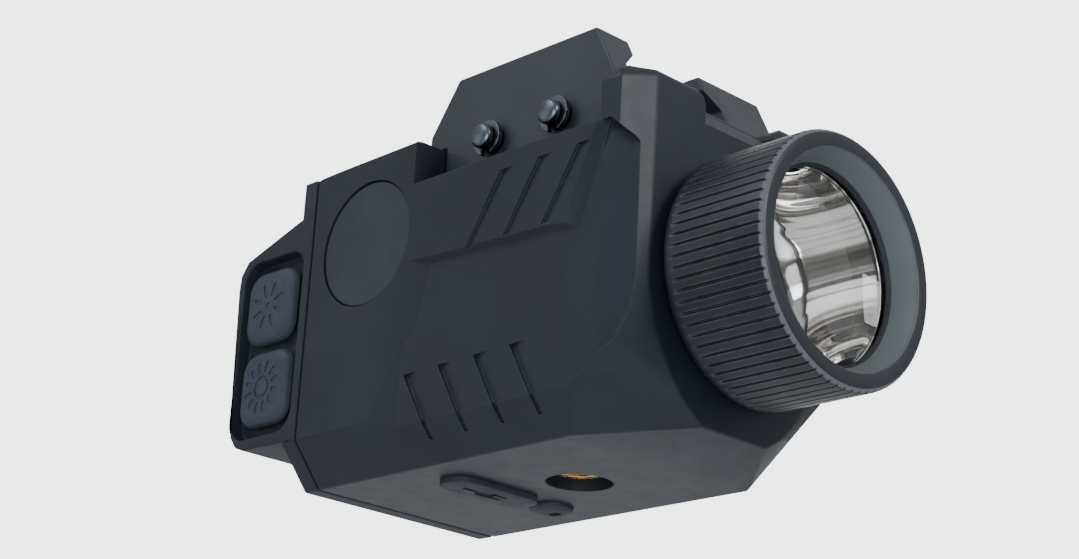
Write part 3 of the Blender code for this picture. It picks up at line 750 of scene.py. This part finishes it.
def reflector():
    """A parabolic mirror bowl with a rolled rim and a seat for the window."""
    inner, outer, depth = 3.1, 10.4, 15.0
    count = 40
    radii = [inner + (outer - inner) * i / count for i in range(count + 1)]
    bowl = [(20.8 + depth * (r / outer) ** 2, r) for r in radii]
    rim = [(35.75 + 0.3 * math.sin(0.3 * i), 10.78 - 0.33 * math.cos(0.3 * i)) for i in range(1, 10)]
    rim += [(35.6, 11.35), (35.1, 11.35), (35.1, 11.0)]
    back = [(x, r + 0.6) for x, r in reversed(bowl[:-1])]
    cup = turned(bowl[:-1] + rim + back, BEAM, X_AXIS, 160, ring=True)
    piece(cup, "mirror_bowl", "housing", ["reflector"], MATS["mirror"], angle=40)


def window():
    """A flat glass with eased edges, and the seal that lies between it and the bezel."""
    profile = (
        (36.15, 0), (36.15, 11.2), (36.2, 11.33), (36.35, 11.4),
        (36.95, 11.4), (37.1, 11.33), (37.15, 11.2), (37.15, 0),
    )
    glass = turned(profile, BEAM, X_AXIS, 128)
    piece(glass, "window", "housing", ["lens"], MATS["glass"], angle=50)
    seal = (
        (37.2, 10.75), (37.2, 11.3), (37.75, 11.35), (38.1, 11.4),
        (37.72, 10.98), (37.5, 10.72), (37.35, 10.66),
    )
    ring = turned(seal, BEAM, X_AXIS, 128, ring=True)
    piece(ring, "window_seal", "bezel", ["lens_gasket"], MATS["rubber"], angle=40)


def led():
    """A square emitter sitting in the pocket of a pale ceramic base."""
    package = prism(rounded((0, BEAM.z), (3.5, 3.5), 0.25), "X", 21.6, 22.05)
    cut(package, prism(rounded((0, BEAM.z), (2.9, 2.9), 0.3), "X", 22.0, 22.5))
    piece(package, "led_base", "housing", ["led_emitter"], MATS["ceramic"], 0.05)
    chip = prism(rounded((0, BEAM.z), (2.2, 2.2), 0.15), "X", 21.95, 22.25)
    piece(chip, "led_phosphor", "housing", [], MATS["emitter"], 0.03)


# ---- rail clamp ----------------------------------------------------------------------------------

JAW_TOP = 48.2
JAW_BOTTOM = 34.1
HOOK_LOW = 46.2
NOTCH_LOW = 44.0
BED_TOP = 40.6
PIN_Z = 38.5
PIN_HOLE = 1.55
PINS = {"rear": 0.0, "front": 10.9}


def jaw_side_view():
    """Both jaws seen from the side. At the rear they reach over the housing's top, clear of it."""
    return (
        (-6.8, JAW_TOP), (-11.2, 41.8), (-11.2, 39.7), (-8.2, 39.7), (-8.2, JAW_BOTTOM),
        (21.4, JAW_BOTTOM), (21.4, 39.2), (19.1, 41.8), (15.9, JAW_TOP),
    )


def fixed_jaw():
    hook = (
        (-13.9, JAW_BOTTOM), (-13.9, JAW_TOP), (-8.7, JAW_TOP), (-8.7, HOOK_LOW),
        (-10.9, NOTCH_LOW), (-10.9, JAW_BOTTOM),
    )
    jaw = prism(hook, "X", -15, 25)
    boolean(jaw, prism(jaw_side_view(), "Y", -20, 20), "INTERSECT")
    join(jaw, box((-8.2, -12, JAW_BOTTOM), (21.4, 8.6, BED_TOP)))
    for x in PINS.values():
        cut(jaw, stepped((x, 0, PIN_Z), Y_AXIS, ((-20, 20, PIN_HOLE),), 48))
    cut(jaw, box((2.65, -8.7, 38.4), (8.3, 5.1, 50)))
    for x in BASE_SCREWS:
        hole = ((30, 38.4, SCREW_HOLE), (38.4, 45, 2.3))
        cut(jaw, stepped((x, BASE_SCREW_Y, 0), Z_AXIS, hole, 48))
    piece(jaw, "clamp_base", "housing", ["fixed_jaw"], MATS["jaw"], 0.25)


def moving_jaw():
    hook = (
        (13.9, JAW_BOTTOM), (13.9, JAW_TOP), (3.1, JAW_TOP), (3.1, HOOK_LOW), (5.3, NOTCH_LOW),
        (5.3, BED_TOP + 0.3), (8.9, BED_TOP + 0.3), (8.9, JAW_BOTTOM),
    )
    jaw = prism(hook, "X", -15, 25)
    boolean(jaw, prism(jaw_side_view(), "Y", -20, 20), "INTERSECT")
    for x in PINS.values():
        cut(jaw, stepped((x, 0, PIN_Z), Y_AXIS, ((0, 10.2, PIN_HOLE), (10.2, 20, 2.75)), 48))
    piece(jaw, "clamp_slider", "moving_jaw", ["moving_jaw"], MATS["jaw"], 0.25)


def clamp_pins():
    """Cross pins with a slotted head on the left and a grooved tail, held by a clip, on the right."""
    profile = (
        (-16.4, 0), (-16.4, 1.05), (-16.32, 1.22), (-16.05, 1.47), (-15.95, 1.5), (-15.5, 1.5),
        (-15.5, 0.9), (-14.2, 0.9), (-14.2, 1.25), (16.6, 1.25), (16.6, 2.3), (17.75, 2.3),
        (18.0, 2.18), (18.1, 1.95), (18.1, 0),
    )
    section = ((-15.2, 1.2), (-15.2, 2.15), (-14.5, 2.15), (-14.5, 1.2))
    for place, x in PINS.items():
        centre = (x, 0, PIN_Z)
        pin = turned(profile, centre, Y_AXIS, 64)
        cut(pin, box((x - 5, 17.4, PIN_Z - 0.4), (x + 5, 20, PIN_Z + 0.4)))
        node = f"clamp_pin_{place}"
        piece(pin, f"pin_{place}", "housing", [node], MATS["steel"], angle=30)
        clip = turned(section, centre, Y_AXIS, 64, ring=True)
        cut(clip, box((x - 0.7, -20, PIN_Z - 5), (x + 0.7, -10, PIN_Z)))
        node = f"retaining_ring_{place}"
        piece(clip, f"clip_{place}", "housing", [node], MATS["steel"], 0.08)


def coil(centre, axis, low, high, radii, wire, turns):
    """A wire wound round an axis, from the first of radii at low to the second at high."""
    sides, steps = 12, 36
    side = Z_AXIS if axis.z == 0 else X_AXIS
    other = axis.cross(side)
    bm = bmesh.new()
    rings = []
    count = int(turns * steps)
    for i in range(count + 1):
        part = i / count
        turn = math.tau * turns * part
        out = side * math.cos(turn) + other * math.sin(turn)
        radius = radii[0] + (radii[1] - radii[0]) * part
        middle = Vector(centre) + axis * (low + (high - low) * part) + out * radius
        angles = [math.tau * k / sides for k in range(sides)]
        around = [(out * math.cos(a) + axis * math.sin(a)) * wire for a in angles]
        rings.append([bm.verts.new(middle + offset) for offset in around])
    for ring, following in zip(rings, rings[1:]):
        for k in range(sides):
            j = (k + 1) % sides
            bm.faces.new((ring[k], ring[j], following[j], following[k]))
    bm.faces.new(rings[0])
    bm.faces.new(rings[-1])
    return raw(bm)


def springs():
    for place, x in PINS.items():
        spring = coil((x, 0, PIN_Z), Y_AXIS, 10.75, 16.05, (1.85, 1.85), 0.2, 3.5)
        name = f"jaw_spring_{place}"
        piece(spring, f"coil_{place}", "housing", [name], MATS["steel"], angle=60)
        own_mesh(spring)
    contact = coil(BEAM, X_AXIS, -27.9, -25.8, (5.2, 2.6), 0.28, 2.5)
    piece(contact, "contact_coil", "housing", ["battery_spring"], MATS["brass"], angle=60)


# ---- underside -----------------------------------------------------------------------------------


def plug_mark(x, y):
    """Tools for a plain plug mark: a body, two prongs and a cord."""
    shapes = (
        ((x, y), (2.2, 2.4), 0.6), ((x - 0.6, y + 1.9), (0.55, 1.7), 0.25),
        ((x + 0.6, y + 1.9), (0.55, 1.7), 0.25), ((x, y - 2.4), (0.6, 2.6), 0.28),
    )
    return [prism(rounded(centre, size, radius, 6), "Z", -1, 0.32) for centre, size, radius in shapes]


def port_flap():
    """The hinged cover of the socket: a thin skin with eased edges and a plug behind it."""
    middle = (PORT[0], -3.15)
    stations = ((FLOOR - 0.03, 5.2, 13.5), (0.2, 5.2, 13.5), (0.09, 5.08, 13.38), (0.05, 4.9, 13.2))
    sections = [(z, rounded(middle, (w, l), w / 2 - 0.1, 12)) for z, w, l in stations]
    flap = loft("Z", sections)
    join(flap, prism(rounded(PORT, (2.0, 7.6), 0.9), "Z", 0.4, 2.2))
    cut(flap, *plug_mark(PORT[0], -3.6))
    piece(flap, "flap_skin", "port_flap", ["port_flap"], MATS["flap"], angle=30)


def flap_anchor():
    """The fixed end of the flap: a thick tab with a blind hole for lifting a nail under."""
    stations = (
        (FLOOR - 0.03, 5.2, 5.3), (0.42, 5.1, 5.2), (0.24, 4.8, 4.9), (0.08, 4.1, 4.2), (0.0, 3.6, 3.7),
    )
    sections = [(z, rounded((PORT[0], 6.95), (w, l), w / 2 - 0.1, 12)) for z, w, l in stations]
    tab = loft("Z", sections)
    join(tab, stepped((PORT[0], 6.9, 0), Z_AXIS, ((0.4, 4.0, 1.0),), 32))
    cut(tab, prism(rounded((PORT[0], 7.6), (1.8, 1.1), 0.5, 8), "Z", -1, 0.35))
    piece(tab, "flap_tab", "housing", ["flap_anchor"], MATS["flap"], angle=30)


def set_screw():
    """The brass screw in the underside, with a hexagonal socket."""
    profile = (
        (1.8, 0), (1.8, 2.35), (1.86, 2.47), (2.1, 2.6), (2.6, 3.0), (8.6, 3.0), (8.9, 2.7), (8.9, 0),
    )
    screw = turned(profile, (*ADJUSTER, 0), Z_AXIS, 96)
    turns = [math.tau * i / 6 for i in range(6)]
    hexagon = [(ADJUSTER[0] + 1.5 * math.cos(a), ADJUSTER[1] + 1.5 * math.sin(a)) for a in turns]
    cut(screw, prism(hexagon, "Z", 0, 2.9))
    piece(screw, "brass_screw", "set_screw", ["set_screw"], MATS["brass"], 0.06)


# ---- stage ---------------------------------------------------------------------------------------


def carried_over():
    """The CAD pieces that keep their own shape get their materials here."""
    small = [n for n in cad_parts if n.startswith(("cap_screw", "base_screw")) or "_switch_" in n]
    finish = {
        "steel": [*small, "rail_key", "charge_socket"],
        "board": ["switch_board_right", "switch_board_left", "contact_board", "driver_board", "led_board"],
        "rubber": ["rear_gasket", "head_oring"],
        "battery": ["battery_cell"],
        "aluminium": ["heat_sink"],
    }
    for key, names in finish.items():
        for name in names:
            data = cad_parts[name].data
            data.materials.clear()
            data.materials.append(MATS[key])


def plain_material(name, colour, roughness):
    t = Tree(name)
    t.set(Base_Color=t.mix(t.noise(3, 2), colour, scaled(colour, 0.98)), Roughness=roughness)
    return t.material


def stage():
    """A wide pale floor below the view."""
    mesh = bpy.data.meshes.new("floor")
    half, level = 4.0, -0.32
    corners = [(half * sx, half * sy, level) for sx, sy in ((-1, -1), (1, -1), (1, 1), (-1, 1))]
    mesh.from_pydata(corners, [], [(0, 1, 2, 3)])
    floor = bpy.data.objects.new("floor", mesh)
    mesh.materials.append(plain_material("floor_paint", rgb(0.86, 0.86, 0.87), 0.8))
    bpy.context.scene.collection.objects.link(floor)


def softbox(name, place, target, size, power, colour=(1, 1, 1)):
    data = bpy.data.lights.new(name, "AREA")
    data.shape = "RECTANGLE"
    data.size, data.size_y = size
    data.energy = power
    data.color = colour
    light = bpy.data.objects.new(name, data)
    light.location = place
    light.rotation_euler = (Vector(target) - Vector(place)).to_track_quat("-Z", "Y").to_euler()
    bpy.context.scene.collection.objects.link(light)


BACKDROP = (-0.684, 0.649, 0.334)
SKY = (0.35, -0.1, 0.93)


def softbox_glow(nodes, links, direction, low, high, dim, bright):
    """A smooth bright patch of the studio's walls, round one direction."""
    aim = nodes.new("ShaderNodeVectorMath")
    aim.operation = "DOT_PRODUCT"
    aim.inputs[1].default_value = direction
    links.new(nodes.new("ShaderNodeTexCoord").outputs["Generated"], aim.inputs[0])
    fade = nodes.new("ShaderNodeMapRange")
    fade.interpolation_type = "SMOOTHSTEP"
    for key, value in (("From Min", low), ("From Max", high), ("To Min", dim), ("To Max", bright)):
        fade.inputs[key].default_value = value
    links.new(aim.outputs["Value"], fade.inputs["Value"])
    return fade.outputs["Result"]


def lights():
    """A pale studio with a bright wall behind the object and a brighter ceiling, and soft boxes."""
    world = bpy.data.worlds.new("studio")
    bpy.context.scene.world = world
    world.use_nodes = True
    nodes, links = world.node_tree.nodes, world.node_tree.links
    shader = nodes["Background"]
    shader.inputs["Color"].default_value = rgb(0.95, 0.97, 1.0)
    total = nodes.new("ShaderNodeMath")
    links.new(softbox_glow(nodes, links, BACKDROP, 0.925, 0.962, 0.0, 3.65), total.inputs[0])
    links.new(softbox_glow(nodes, links, SKY, -0.7, 0.9, 0.2, 0.78), total.inputs[1])
    links.new(total.outputs["Value"], shader.inputs["Strength"])
    target = (0, 0, 0.02)
    softbox("front_key", (0.57, 0.05, 0.27), target, (0.22, 0.22), 3.6)
    softbox("top_fill", (-0.1, -0.45, 0.5), target, (0.5, 0.3), 2.4, (0.93, 1.0, 1.1))
    softbox("front_fill", (0.46, -0.46, -0.12), target, (0.3, 0.3), 2.6, (0.93, 1.0, 1.1))
    softbox("rear_fill", (-0.42, -0.45, 0.12), target, (0.35, 0.35), 0.45)
    softbox("low_glint", (-0.38, 0.37, -0.17), target, (0.08, 0.08), 0.012)


def camera():
    place = Vector((174.07, -170.61, -61.07)) * MM
    azimuth, elevation, roll = (math.radians(d) for d in (46.5, -19.51, 3.23))
    level = math.cos(elevation)
    back = Vector((math.sin(azimuth) * level, -math.cos(azimuth) * level, math.sin(elevation)))
    right = Z_AXIS.cross(back).normalized()
    up = back.cross(right)
    tilted = right * math.cos(roll) + up * math.sin(roll)
    upright = up * math.cos(roll) - right * math.sin(roll)
    data = bpy.data.cameras.new("camera")
    data.sensor_width = 36
    data.lens = 73.5
    data.clip_start = 0.005
    data.clip_end = 20
    obj = bpy.data.objects.new("camera", data)
    obj.matrix_world = Matrix((
        (tilted.x, upright.x, back.x, place.x),
        (tilted.y, upright.y, back.y, place.y),
        (tilted.z, upright.z, back.z, place.z),
        (0, 0, 0, 1),
    ))
    bpy.context.scene.collection.objects.link(obj)
    bpy.context.scene.camera = obj


housing()
side_discs()
rear_cap()
buttons()
bezel()
reflector()
window()
led()
fixed_jaw()
moving_jaw()
clamp_pins()
springs()
port_flap()
flap_anchor()
set_screw()
carried_over()
stage()
lights()
camera()
